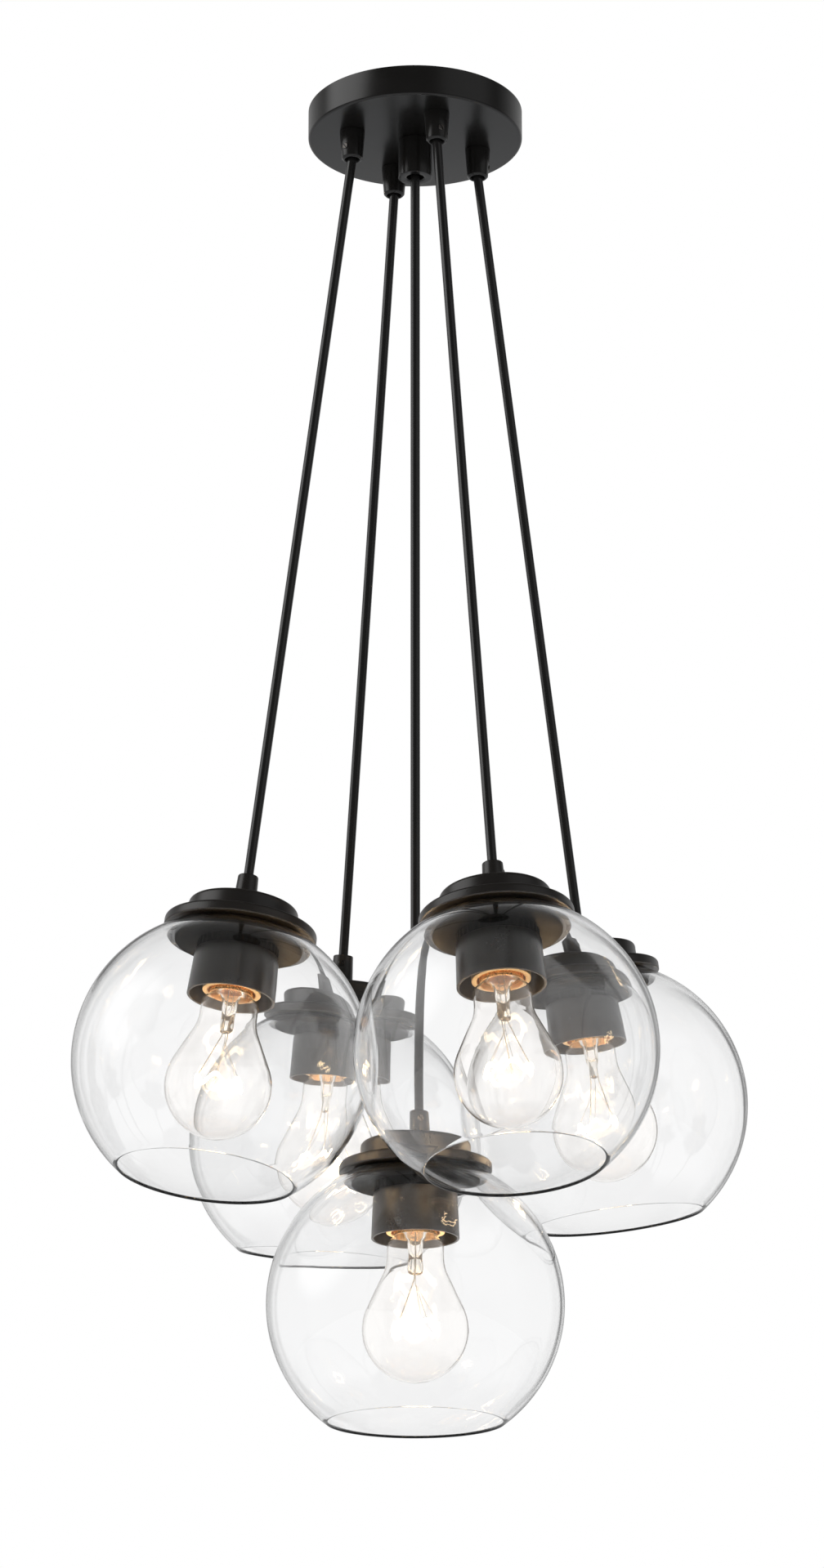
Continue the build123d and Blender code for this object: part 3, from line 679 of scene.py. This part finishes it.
def make_cap(number, hang):
    flange_radius = 43.0 * mm
    flange_round = 2.2 * mm
    foot_chamfer = 0.6 * mm
    boss_radius = 26.0 * mm
    tier_radius = 31.0 * mm
    tier_round = 3.0 * mm
    groove = 0.5 * mm
    wall = 2.4 * mm
    inside = tier_radius - wall
    bm, first = start_section(ring_bore, seat)
    tip = line_to(bm, first, (boss_radius, seat), (boss_radius, flange_foot),
                  (flange_radius - foot_chamfer, flange_foot), (flange_radius, flange_foot + foot_chamfer),
                  (flange_radius, tier_foot - flange_round))
    tip = arc_to(bm, tip, (flange_radius - flange_round, tier_foot - flange_round), -90, 8)
    tip = line_to(bm, tip, (tier_radius + groove, tier_foot), (tier_radius + 0.3 * mm, tier_foot - groove),
                  (tier_radius, tier_foot - groove), (tier_radius, cap_top - tier_round))
    tip = arc_to(bm, tip, (tier_radius - tier_round, cap_top - tier_round), -90, 10)
    tip = line_to(bm, tip, (3.5 * mm, cap_top), (3.5 * mm, cap_top - wall), (inside, cap_top - wall),
                  (inside, flange_foot + wall), (ring_bore, flange_foot + wall))
    bm.edges.new((tip, first))
    turn(bm, 128)
    place_part(bm, number, "cap_{}_body", lit_pendant_black, "pendant", "cap", hang)


def make_shade_ring(number, hang):
    plate_foot = ring_top - 1.2 * mm
    plate_radius = 36.5 * mm
    chamfer = 0.3 * mm
    ring_radius = 23.2 * mm
    sleeve_radius = 21.3 * mm
    steps = 144
    flute_every = 4
    flute_depth = 0.976
    bm = turned([(ring_bore, ring_foot), (ring_radius, ring_foot), (ring_radius, plate_foot),
                 (plate_radius - chamfer, plate_foot), (plate_radius, plate_foot + chamfer),
                 (plate_radius, ring_top), (sleeve_radius, ring_top), (sleeve_radius, seat),
                 (ring_bore, seat)], steps, 0)
    wall = [v for v in bm.verts if abs(v.co.xy.length - ring_radius) < 0.2 * mm]
    flutes = [v for v in wall if round(math.atan2(v.co.y, v.co.x) / math.tau * steps) % flute_every == 0]
    bmesh.ops.scale(bm, verts=flutes, vec=(flute_depth, flute_depth, 1.0))
    place_part(bm, number, "shade_ring_{}_nut", ring_black, "pendant", "shade_ring", hang,
               crease=60)


def make_socket_cup(number, hang):
    hole = 16.6 * mm
    wall = 1.5 * mm
    top_radius = 23.9 * mm
    lip_radius = 24.9 * mm
    bm = turned([(hole, ring_foot), (top_radius, ring_foot), (lip_radius, lip), (lip_radius - wall, lip),
                 (top_radius - wall, ring_foot - wall), (hole, ring_foot - wall)], 128, 0.4 * mm, 4)
    place_part(bm, number, "socket_cup_{}_shell", lit_pendant_black, "pendant", "socket_cup", hang)


for number, hang in enumerate(hangs, start=1):
    make_cord_grip(number, hang)
    make_cap(number, hang)
    make_shade_ring(number, hang)
    make_socket_cup(number, hang)
print("metalwork for", len(hangs), "pendants")

# %% [markdown]
# ## Lamp sockets
# Inside the cup sits a cream ceramic body with a brass screw shell. From below its end shows as a pale ring
# with a warm glow in it, lit by the bulb.

# %% Lamp sockets
bulb_bottom = lip - 82.0 * mm
bulb_tip = bulb_bottom + 110.0 * mm
socket_mouth = lip + 3.4 * mm
socket_floor = bulb_tip + 1.5 * mm
thread_pitch = 3.629 * mm


def make_socket(number, hang):
    bore = 13.9 * mm
    body_radius = 16.5 * mm
    shoulder_radius = 19.0 * mm
    head_radius = 20.0 * mm
    head_top = seat + 1.6 * mm
    shell_top = socket_mouth + 23.0 * mm
    shoulder = ring_foot - 1.5 * mm
    shoulder_foot = shoulder - 3.0 * mm
    bm = turned([(0, socket_floor), (bore, socket_floor), (bore, socket_mouth), (body_radius, socket_mouth),
                 (body_radius, shoulder_foot), (shoulder_radius, shoulder_foot), (shoulder_radius, shoulder),
                 (body_radius, shoulder), (body_radius, ring_foot), (head_radius, ring_foot),
                 (head_radius, head_top), (0, head_top)], 96, 0.35 * mm, closed=False)
    place_part(bm, number, "socket_{}_body", cream_ceramic, "pendant", "socket", hang)
    shell = tube(13.45 * mm, 13.8 * mm, socket_mouth, shell_top, 64, 0.1 * mm)
    join_into(shell, threaded(13.45 * mm, 0.15 * mm, thread_pitch, socket_mouth, shell_top, 48))
    join_into(shell, rod(4.5 * mm, bulb_tip + 0.3 * mm, bulb_tip + 1.4 * mm, 32, 0.2 * mm))
    place_part(shell, number, "socket_{}_brass", warm_brass, "pendant", "socket", hang)


for number, hang in enumerate(hangs, start=1):
    make_socket(number, hang)
print("sockets:", len(hangs))

# %% [markdown]
# ## Glass globes
# A globe is blown in one piece: almost a whole ball, flat on top round the hole, and thinner toward the
# fire-polished rim at the open bottom. The section is two long arcs, outside and inside, joined by the
# round rim and by the flat seat. The inner arc has its center a little lower, which is what thins the wall.

# %% Glass globes
globe_outer = 83.5 * mm
globe_wall = 2.8 * mm
globe_inner = globe_outer - globe_wall
rim_wall = 1.6 * mm
rim_angle = 53.2
hole_radius = 21.5 * mm
seat_round = 2.0 * mm


def on_rim(radius):
    return radius * math.cos(math.radians(rim_angle)), -radius * math.sin(math.radians(rim_angle))


def make_globe(number, hang):
    turn_height = seat - seat_round
    turn_radius = math.sqrt((globe_outer - seat_round)**2 - turn_height**2)
    bend = 90.0 - math.degrees(math.atan2(turn_height, turn_radius))
    rim_radius, rim_height = on_rim(globe_outer - rim_wall)
    under_height = seat - globe_wall
    under_radius = math.sqrt(globe_inner**2 - under_height**2)
    inner_center = (globe_inner**2 - (globe_outer - rim_wall)**2) / (2 * (under_height - rim_height))
    inner_start = math.atan2(rim_height - inner_center, rim_radius)
    inner_end = math.atan2(under_height - inner_center, under_radius)
    bm, first = start_section(hole_radius, seat)
    tip = line_to(bm, first, (turn_radius, seat))
    tip = arc_to(bm, tip, (turn_radius, turn_height), bend, 8)
    tip = arc_to(bm, tip, (0, 0), 90.0 - bend + rim_angle, 72)
    tip = arc_to(bm, tip, on_rim(globe_outer - rim_wall / 2), 180, 12)
    tip = arc_to(bm, tip, (0, inner_center), -math.degrees(inner_end - inner_start), 72)
    tip = line_to(bm, tip, (hole_radius, under_height))
    bm.edges.new((tip, first))
    turn(bm, 144)
    place_part(bm, number, "globe_{}_glass", globe_glass, "pendant", "globe", hang, crease=60)


for number, hang in enumerate(hangs, start=1):
    make_globe(number, hang)
print("globes:", len(hangs))

# %% [markdown]
# ## Bulbs
# A household bulb: a thin clear envelope like a pear, a glass stem that carries two leads and three fine
# supports, a filament bent round in a horseshoe, and a screw base with a black insulator and a solder tip.

# %% Bulb envelope and stem
bulb_radius = 30.0 * mm
bulb_center = bulb_bottom + bulb_radius
neck_radius = 16.2 * mm
neck_bend = 25.0 * mm
base_rim = bulb_tip - 26.5 * mm
cone_degrees = 25.0
cone = math.radians(cone_degrees)


def bulb_side(inset):
    ball = bulb_radius - inset
    neck = neck_radius - inset
    leave = Vector((ball * math.cos(cone), bulb_center + ball * math.sin(cone)))
    corner = leave.y + (leave.x - neck) / math.tan(cone)
    run = (neck_bend + inset) * math.tan(cone / 2)
    cone_end = (neck + run * math.sin(cone), corner - run * math.cos(cone))
    return leave, cone_end, (neck + neck_bend + inset, corner + run)


# How far above and below the bulb's middle the painted glow on its envelope and stem reaches.
envelope_glow_reach = 18.0 * mm
stem_glow_reach = 42.0 * mm


# The weight of the painted glow on each vertex, highest at the height of the bulb's middle.
def mark_painted_glow(bm, reach):
    heat = bm.verts.layers.float.new("heat")
    for vert in bm.verts:
        vert[heat] = math.exp(-((vert.co.z - bulb_center) / reach)**2)


def make_envelope(number, hang):
    wall = 0.7 * mm
    neck_top = base_rim - 5.0 * mm
    _, cone_end, bend = bulb_side(0)
    bm, tip = start_section(0, bulb_bottom)
    tip = arc_to(bm, tip, (0, bulb_center), -90 - cone_degrees, 40)
    tip = line_to(bm, tip, cone_end)
    tip = arc_to(bm, tip, bend, cone_degrees, 10)
    tip = line_to(bm, tip, (neck_radius, neck_top), (neck_radius - 0.6 * mm, base_rim - 3.4 * mm))
    tip = line_to(bm, tip, *from_level(base_rim, (12.4, -0.6), (11.6, 0.4), (11.6, 3.0), (10.9, 3.0),
                                       (10.9, 0.4), (11.7, -1.0)))
    tip = line_to(bm, tip, (neck_radius - 1.3 * mm, base_rim - 3.6 * mm), (neck_radius - wall, neck_top))
    leave, _, bend = bulb_side(wall)
    tip = line_to(bm, tip, (neck_radius - wall, bend[1]))
    tip = arc_to(bm, tip, bend, -cone_degrees, 10)
    tip = line_to(bm, tip, tuple(leave))
    arc_to(bm, tip, (0, bulb_center), 90 + cone_degrees, 40)
    turn(bm, 96)
    mark_painted_glow(bm, envelope_glow_reach)
    place_part(bm, number, "bulb_{}_envelope", envelope_glass, "bulb", "bulb_glass", hang,
               crease=60)


stem_foot = base_rim - 22.5 * mm


def make_stem(number, hang):
    bm, tip = start_section(0, stem_foot)
    outside = ((2.6, 0.2), (4.1, 1.2), (4.5, 3.0), (4.3, 7.0), (3.7, 10.0), (4.1, 14.0), (4.7, 20.0),
               (6.2, 23.5), (9.5, 25.0))
    inside = ((9.5, 25.8), (4.9, 24.4), (3.5, 20.0), (2.7, 13.0), (1.2, 10.5), (0, 10.0))
    line_to(bm, tip, *from_level(stem_foot, *outside, *inside))
    turn(bm, 40)
    pinched = [v for v in bm.verts if v.co.z < stem_foot + 8.0 * mm]
    bmesh.ops.scale(bm, verts=pinched, vec=(1.0, 0.55, 1.0))
    bmesh.ops.smooth_vert(bm, verts=bm.verts[:], factor=0.3, use_axis_x=True, use_axis_y=True,
                          use_axis_z=True)
    mark_painted_glow(bm, stem_glow_reach)
    place_part(bm, number, "bulb_{}_stem", stem_glass, "bulb", "bulb_glass", hang, crease=70)


# %% [markdown]
# A wire is a ring of edges that is drawn from point to point, turned into each new direction as it goes.

# %% Leads, supports and filament
def wire(bm, points, radius, around=8):
    points = [Vector(p) for p in points]
    heading = (points[1] - points[0]).normalized()
    facing = Vector((0, 0, 1)).rotation_difference(heading).to_matrix().to_4x4()
    ring = bmesh.ops.create_circle(bm, segments=around, radius=radius, cap_ends=True,
                                   matrix=Matrix.Translation(points[0]) @ facing)["verts"]
    edges = [e for e in bm.edges if all(v in ring for v in e.verts)]
    for here, there in zip(points, points[1:]):
        turned_by = heading.rotation_difference((there - here).normalized())
        heading = (there - here).normalized()
        drawn = bmesh.ops.extrude_edge_only(bm, edges=edges)["geom"]
        ring = vertices(drawn)
        edges = [g for g in drawn if isinstance(g, bmesh.types.BMEdge) and all(v in ring for v in g.verts)]
        bmesh.ops.rotate(bm, verts=ring, cent=here, matrix=turned_by.to_matrix())
        bmesh.ops.translate(bm, verts=ring, vec=there - here)
    bmesh.ops.contextual_create(bm, geom=edges)


filament_level = bulb_center + 1.0 * mm
filament_bend = 12.5 * mm
coil_radius = 1.4 * mm
filament_wave = 2.5 * mm
filament_open = 80.0
support_angles = (115, 180, 245)
lead_spread = 2.4 * mm


def filament_point(degrees):
    between_supports = support_angles[1] - support_angles[0]
    sag = math.cos(math.radians((degrees - support_angles[1]) * 360 / between_supports))
    return around_axis(filament_bend, degrees, filament_level + filament_wave * sag)


def make_mount(number, hang):
    bm = bmesh.new()
    ends = (filament_open / 2, 360 - filament_open / 2)
    for side, end in zip((1, -1), ends):
        hook = filament_point(end)
        wire(bm, [(side * 0.1 * mm, side * lead_spread, base_rim + 2.0 * mm),
                  (0, side * lead_spread, stem_foot + 5.0 * mm),
                  (0.5 * mm, side * 2.6 * mm, stem_foot - 2.0 * mm),
                  hook + Vector((0, 0, 1.0 * mm)), hook + Vector((0, 0, -0.6 * mm))], 0.32 * mm)
    for angle in support_angles:
        hook = filament_point(angle)
        wire(bm, [(0, 0, stem_foot + 0.6 * mm), (0, 0, stem_foot - 5.0 * mm), hook + Vector((0, 0, 0.8 * mm)),
                  hook + Vector((0, 0, -0.9 * mm))], 0.16 * mm, 6)
    face_outward(bm)
    place_part(bm, number, "bulb_{}_leads", lead_nickel, "bulb", "bulb_base", hang)


def make_filament(number, hang):
    bm = bmesh.new()
    steps = 112
    sweep = 360 - filament_open
    waist_scale = 0.62
    bend = Matrix.Translation((filament_bend, 0, filament_level))
    start = (Matrix.Rotation(math.radians(filament_open / 2), 4, "Z") @ bend
             @ Matrix.Rotation(math.radians(90), 4, "X"))
    ring = bmesh.ops.create_circle(bm, segments=8, radius=coil_radius, cap_ends=False, matrix=start)["verts"]
    edges = list({e for v in ring for e in v.link_edges})
    bmesh.ops.spin(bm, geom=ring + edges, cent=(0, 0, 0), axis=(0, 0, 1), angle=math.radians(sweep),
                   steps=steps)
    for vert in bm.verts:
        vert.co.z += filament_point(math.degrees(math.atan2(vert.co.y, vert.co.x)) % 360).z - filament_level
    for index in range(0, steps, 2):
        degrees = filament_open / 2 + sweep / steps * index
        middle = filament_point(degrees)
        along = Matrix.Rotation(math.radians(degrees), 3, "Z") @ Vector((0, 1, 0))
        nearby = [v for v in bm.verts if (v.co - middle).length < 1.06 * coil_radius]
        waist = [v for v in nearby if abs((v.co - middle).dot(along)) < 0.05 * mm]
        bmesh.ops.scale(bm, verts=waist, vec=(waist_scale,) * 3, space=Matrix.Translation(-middle))
    bmesh.ops.holes_fill(bm, edges=[e for e in bm.edges if e.is_boundary], sides=8)
    face_outward(bm)
    coil = place_part(bm, number, "bulb_{}_filament", filament_light, "bulb", "bulb_base", hang,
                      crease=80)
    coil.visible_diffuse = False
    coil.visible_shadow = False


# %% Bulb base and tip
def make_base(number, hang):
    base_top = base_rim + 19.0 * mm
    bm = tube(11.8 * mm, 12.25 * mm, base_rim, base_top, 64, 0.15 * mm)
    join_into(bm, threaded(13.0 * mm, 0.72 * mm, thread_pitch, base_rim + 2.2 * mm, base_top, 48))
    place_part(bm, number, "bulb_{}_base", warm_brass, "bulb", "bulb_base", hang, crease=70)
    eyelet_foot = bulb_tip - 1.8 * mm
    bm = turned(from_level(base_top, (0, 0.1), (12.2, 0.1), (11.6, 1.2))
                + from_level(eyelet_foot, (7.4, -0.4), (6.6, 0), (0, 0)), 64, 0.25 * mm, closed=False)
    place_part(bm, number, "bulb_{}_insulator", tip_black, "bulb_end", "bulb_tip", hang)
    bm = turned([*from_level(eyelet_foot, (0, 0), (4.7, 0), (4.6, 0.7), (3.6, 1.5)), (1.8 * mm, bulb_tip),
                 (0, bulb_tip)], 40, 0.15 * mm, closed=False)
    place_part(bm, number, "bulb_{}_eyelet", tip_solder, "bulb_end", "bulb_tip", hang)


for number, hang in enumerate(hangs, start=1):
    spun = hang @ Matrix.Rotation(math.radians(37 * number), 4, "Z")
    make_envelope(number, hang)
    make_stem(number, spun)
    make_mount(number, spun)
    make_filament(number, spun)
    make_base(number, hang)
print("bulbs:", len(hangs), "from", round(bulb_bottom / mm, 1), "to", round(bulb_tip / mm, 1),
      "mm about the globe's middle")

# %% [markdown]
# ## Light
# The set is a white studio with a bright wall behind the light. The picture's background is the white of
# the world itself. Through glass the wall is seen to end overhead and at the sides, which draws a dark line
# along the right edge of each globe and a soft grey one along the left. In reflections there is a tall
# panel on the left, a narrower one on the right, and a darker room on the camera's side, which gives black
# metal its depth.

# %% World
def ramp(value, low, high, start, end):
    node = tree.nodes.new("ShaderNodeMapRange")
    node.interpolation_type = "SMOOTHSTEP"
    for label, amount in zip(("From Min", "From Max", "To Min", "To Max"), (low, high, start, end)):
        node.inputs[label].default_value = amount
    tree.links.new(value, node.inputs["Value"])
    return node.outputs["Result"]


def blend(operation, first, second):
    node = tree.nodes.new("ShaderNodeMath")
    node.operation = operation
    tree.links.new(first, node.inputs[0])
    tree.links.new(second, node.inputs[1])
    return node.outputs["Value"]


def band(value, rise, fall, depth):
    return blend("MULTIPLY", ramp(value, *rise, 0.0, depth), ramp(value, *fall, 1.0, 0.0))


def panel(toward, edge, core, strength):
    facing = tree.nodes.new("ShaderNodeVectorMath")
    facing.operation = "DOT_PRODUCT"
    facing.inputs[1].default_value = Vector(toward).normalized()
    tree.links.new(direction.outputs["Generated"], facing.inputs[0])
    return ramp(facing.outputs["Value"], edge, core, 0.0, strength)


def surrounding(color, strength):
    node = tree.nodes.new("ShaderNodeBackground")
    node.inputs["Color"].default_value = (*color, 1)
    node.inputs["Strength"].default_value = strength
    return node


def either(factor, first, second):
    node = tree.nodes.new("ShaderNodeMixShader")
    tree.links.new(factor, node.inputs["Fac"])
    tree.links.new(first, node.inputs[1])
    tree.links.new(second, node.inputs[2])
    return node.outputs["Shader"]


world = bpy.data.worlds.new("studio")
world.use_nodes = True
bpy.context.scene.world = world
tree = world.node_tree
tree.nodes.clear()
direction = tree.nodes.new("ShaderNodeTexCoord")
axes = tree.nodes.new("ShaderNodeSeparateXYZ")
tree.links.new(direction.outputs["Generated"], axes.inputs["Vector"])
backdrop = surrounding((1, 1, 1), 1.0)
through_glass = surrounding((1, 1, 1), 1.0)
room = surrounding((1, 1, 1), 1.0)
fill = surrounding((0.95, 0.97, 1.0), 0.50)

x, y, z = (axes.outputs[label] for label in "XYZ")
right_gap = band(x, rise=(0.28, 0.35), fall=(0.43, 0.50), depth=0.85)
left_gap = band(x, rise=(-0.62, -0.48), fall=(-0.29, -0.20), depth=0.3)
above = ramp(z, low=0.60, high=0.85, start=0.0, end=0.85)
near = ramp(y, low=-0.6, high=0.1, start=0.16, end=0.0)
gaps = blend("MAXIMUM", blend("MAXIMUM", right_gap, left_gap), blend("MAXIMUM", above, near))
through = tree.nodes.new("ShaderNodeMath")
through.operation = "SUBTRACT"
through.inputs[0].default_value = 1.0
tree.links.new(gaps, through.inputs[1])
tree.links.new(through.outputs["Value"], through_glass.inputs["Strength"])

below_eye = ramp(z, low=-0.75, high=-0.1, start=0.35, end=1.0)
over_eye = ramp(z, low=0.25, high=0.75, start=1.0, end=0.12)
far_wall = ramp(y, low=0.05, high=0.75, start=0.08, end=0.58)
wall = blend("MULTIPLY", far_wall, blend("MULTIPLY", below_eye, over_eye))
left_panel = panel((-0.86, -0.16, 0.48), edge=0.86, core=0.97, strength=1.7)
right_panel = panel((0.75, -0.50, 0.43), edge=0.82, core=0.97, strength=0.25)
tree.links.new(blend("ADD", wall, blend("ADD", left_panel, right_panel)), room.inputs["Strength"])

path = tree.nodes.new("ShaderNodeLightPath")
lit = either(path.outputs["Is Glossy Ray"], fill.outputs["Background"], room.outputs["Background"])
lit = either(path.outputs["Is Transmission Ray"], lit, through_glass.outputs["Background"])
lit = either(path.outputs["Is Camera Ray"], lit, backdrop.outputs["Background"])
output = tree.nodes.new("ShaderNodeOutputWorld")
tree.links.new(lit, output.inputs["Surface"])
print("world:", world.name, len(tree.nodes), "nodes")

# %% [markdown]
# Three soft lamps light the paint: a large one on the left, a weaker one on the right and one overhead. The
# panels of the world stand for them in reflections. Inside each bulb a small warm lamp does the filament's
# work on the metal round it.

# %% Lamps
bulb_watts = 0.40
bulb_color = (1.0, 0.66, 0.34)
bulb_lamp_radius = 7.0 * mm


def soft_lamp(name, place, aim, size, watts, color):
    data = bpy.data.lights.new(name, "AREA")
    data.shape = "RECTANGLE"
    data.size, data.size_y = size
    data.energy = watts
    data.color = color
    lamp = new_object(name, data)
    lamp.location = place
    lamp.rotation_euler = (Vector(aim) - Vector(place)).to_track_quat("-Z", "Y").to_euler()
    lamp.visible_transmission = False
    lamp.visible_glossy = False
    return lamp


middle = (0, 0, -0.45)
soft_lamp("left_softbox", (-2.4, -1.5, 0.1), middle, size=(1.2, 2.2), watts=42.0, color=(1.0, 0.97, 0.93))
soft_lamp("right_softbox", (2.3, -1.1, -0.2), middle, size=(0.7, 1.8), watts=16.0, color=(0.95, 0.97, 1.0))
soft_lamp("top_softbox", (0.0, 0.6, 1.6), middle, size=(2.0, 1.4), watts=26.0, color=(1.0, 1.0, 1.0))

for number, hang in enumerate(hangs, start=1):
    data = bpy.data.lights.new(f"bulb_{number}_glow", "POINT")
    data.energy = bulb_watts
    data.color = bulb_color
    data.shadow_soft_size = bulb_lamp_radius
    glow = new_object(data.name, data)
    glow.location = hang @ Vector((0, 0, filament_level))
    glow.visible_transmission = False
    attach(glow, f"bulb_{number}")
print("lamps:", len(bpy.data.lights))

# %% [markdown]
# The floor lies far below. It is as white as the backdrop where it is seen directly, so the two meet
# without a line, and a little greyer where it is seen through glass.

# %% Floor
floor_level = -3.4
floor_reach = 9.0
through_strength = 0.92
bm = bmesh.new()
bmesh.ops.create_grid(bm, x_segments=2, y_segments=2, size=floor_reach,
                      matrix=Matrix.Translation((0, 0, floor_level)))
floor_mesh = bpy.data.meshes.new("floor")
bm.to_mesh(floor_mesh)
bm.free()
floor = new_object("floor", floor_mesh)
floor_paint = grained("floor_paint", (0.86, 0.86, 0.86), (0.90, 0.90, 0.90), 0.7, 0.9, 30, 0.0)
paint = floor_paint.node_tree
seen = paint.nodes.new("ShaderNodeLightPath")
either_way = paint.nodes.new("ShaderNodeMath")
either_way.operation = "MAXIMUM"
white = paint.nodes.new("ShaderNodeEmission")
bright = paint.nodes.new("ShaderNodeMath")
bright.operation = "MULTIPLY_ADD"
bright.inputs[1].default_value = 1.0 - through_strength
bright.inputs[2].default_value = through_strength
paint.links.new(seen.outputs["Is Camera Ray"], bright.inputs[0])
paint.links.new(bright.outputs["Value"], white.inputs["Strength"])
shown = paint.nodes.new("ShaderNodeMixShader")
paint.links.new(seen.outputs["Is Camera Ray"], either_way.inputs[0])
paint.links.new(seen.outputs["Is Transmission Ray"], either_way.inputs[1])
paint.links.new(either_way.outputs["Value"], shown.inputs["Fac"])
paint.links.new(paint.nodes["Principled BSDF"].outputs["BSDF"], shown.inputs[1])
paint.links.new(white.outputs["Emission"], shown.inputs[2])
paint.links.new(shown.outputs["Shader"], paint.nodes["Material Output"].inputs["Surface"])
floor_mesh.materials.append(floor_paint)
print("floor at", floor_level)

# %% [markdown]
# ## Render settings
# Light that goes to the back of the cluster crosses many glass walls, so rays may bend more often than
# usual.

# %% Finish
scene = bpy.context.scene
scene.view_settings.view_transform = "Standard"
bends = 40
scene.cycles.max_bounces = bends
scene.cycles.transmission_bounces = bends
scene.cycles.transparent_max_bounces = bends
scene.cycles.caustics_reflective = False
scene.cycles.caustics_refractive = False
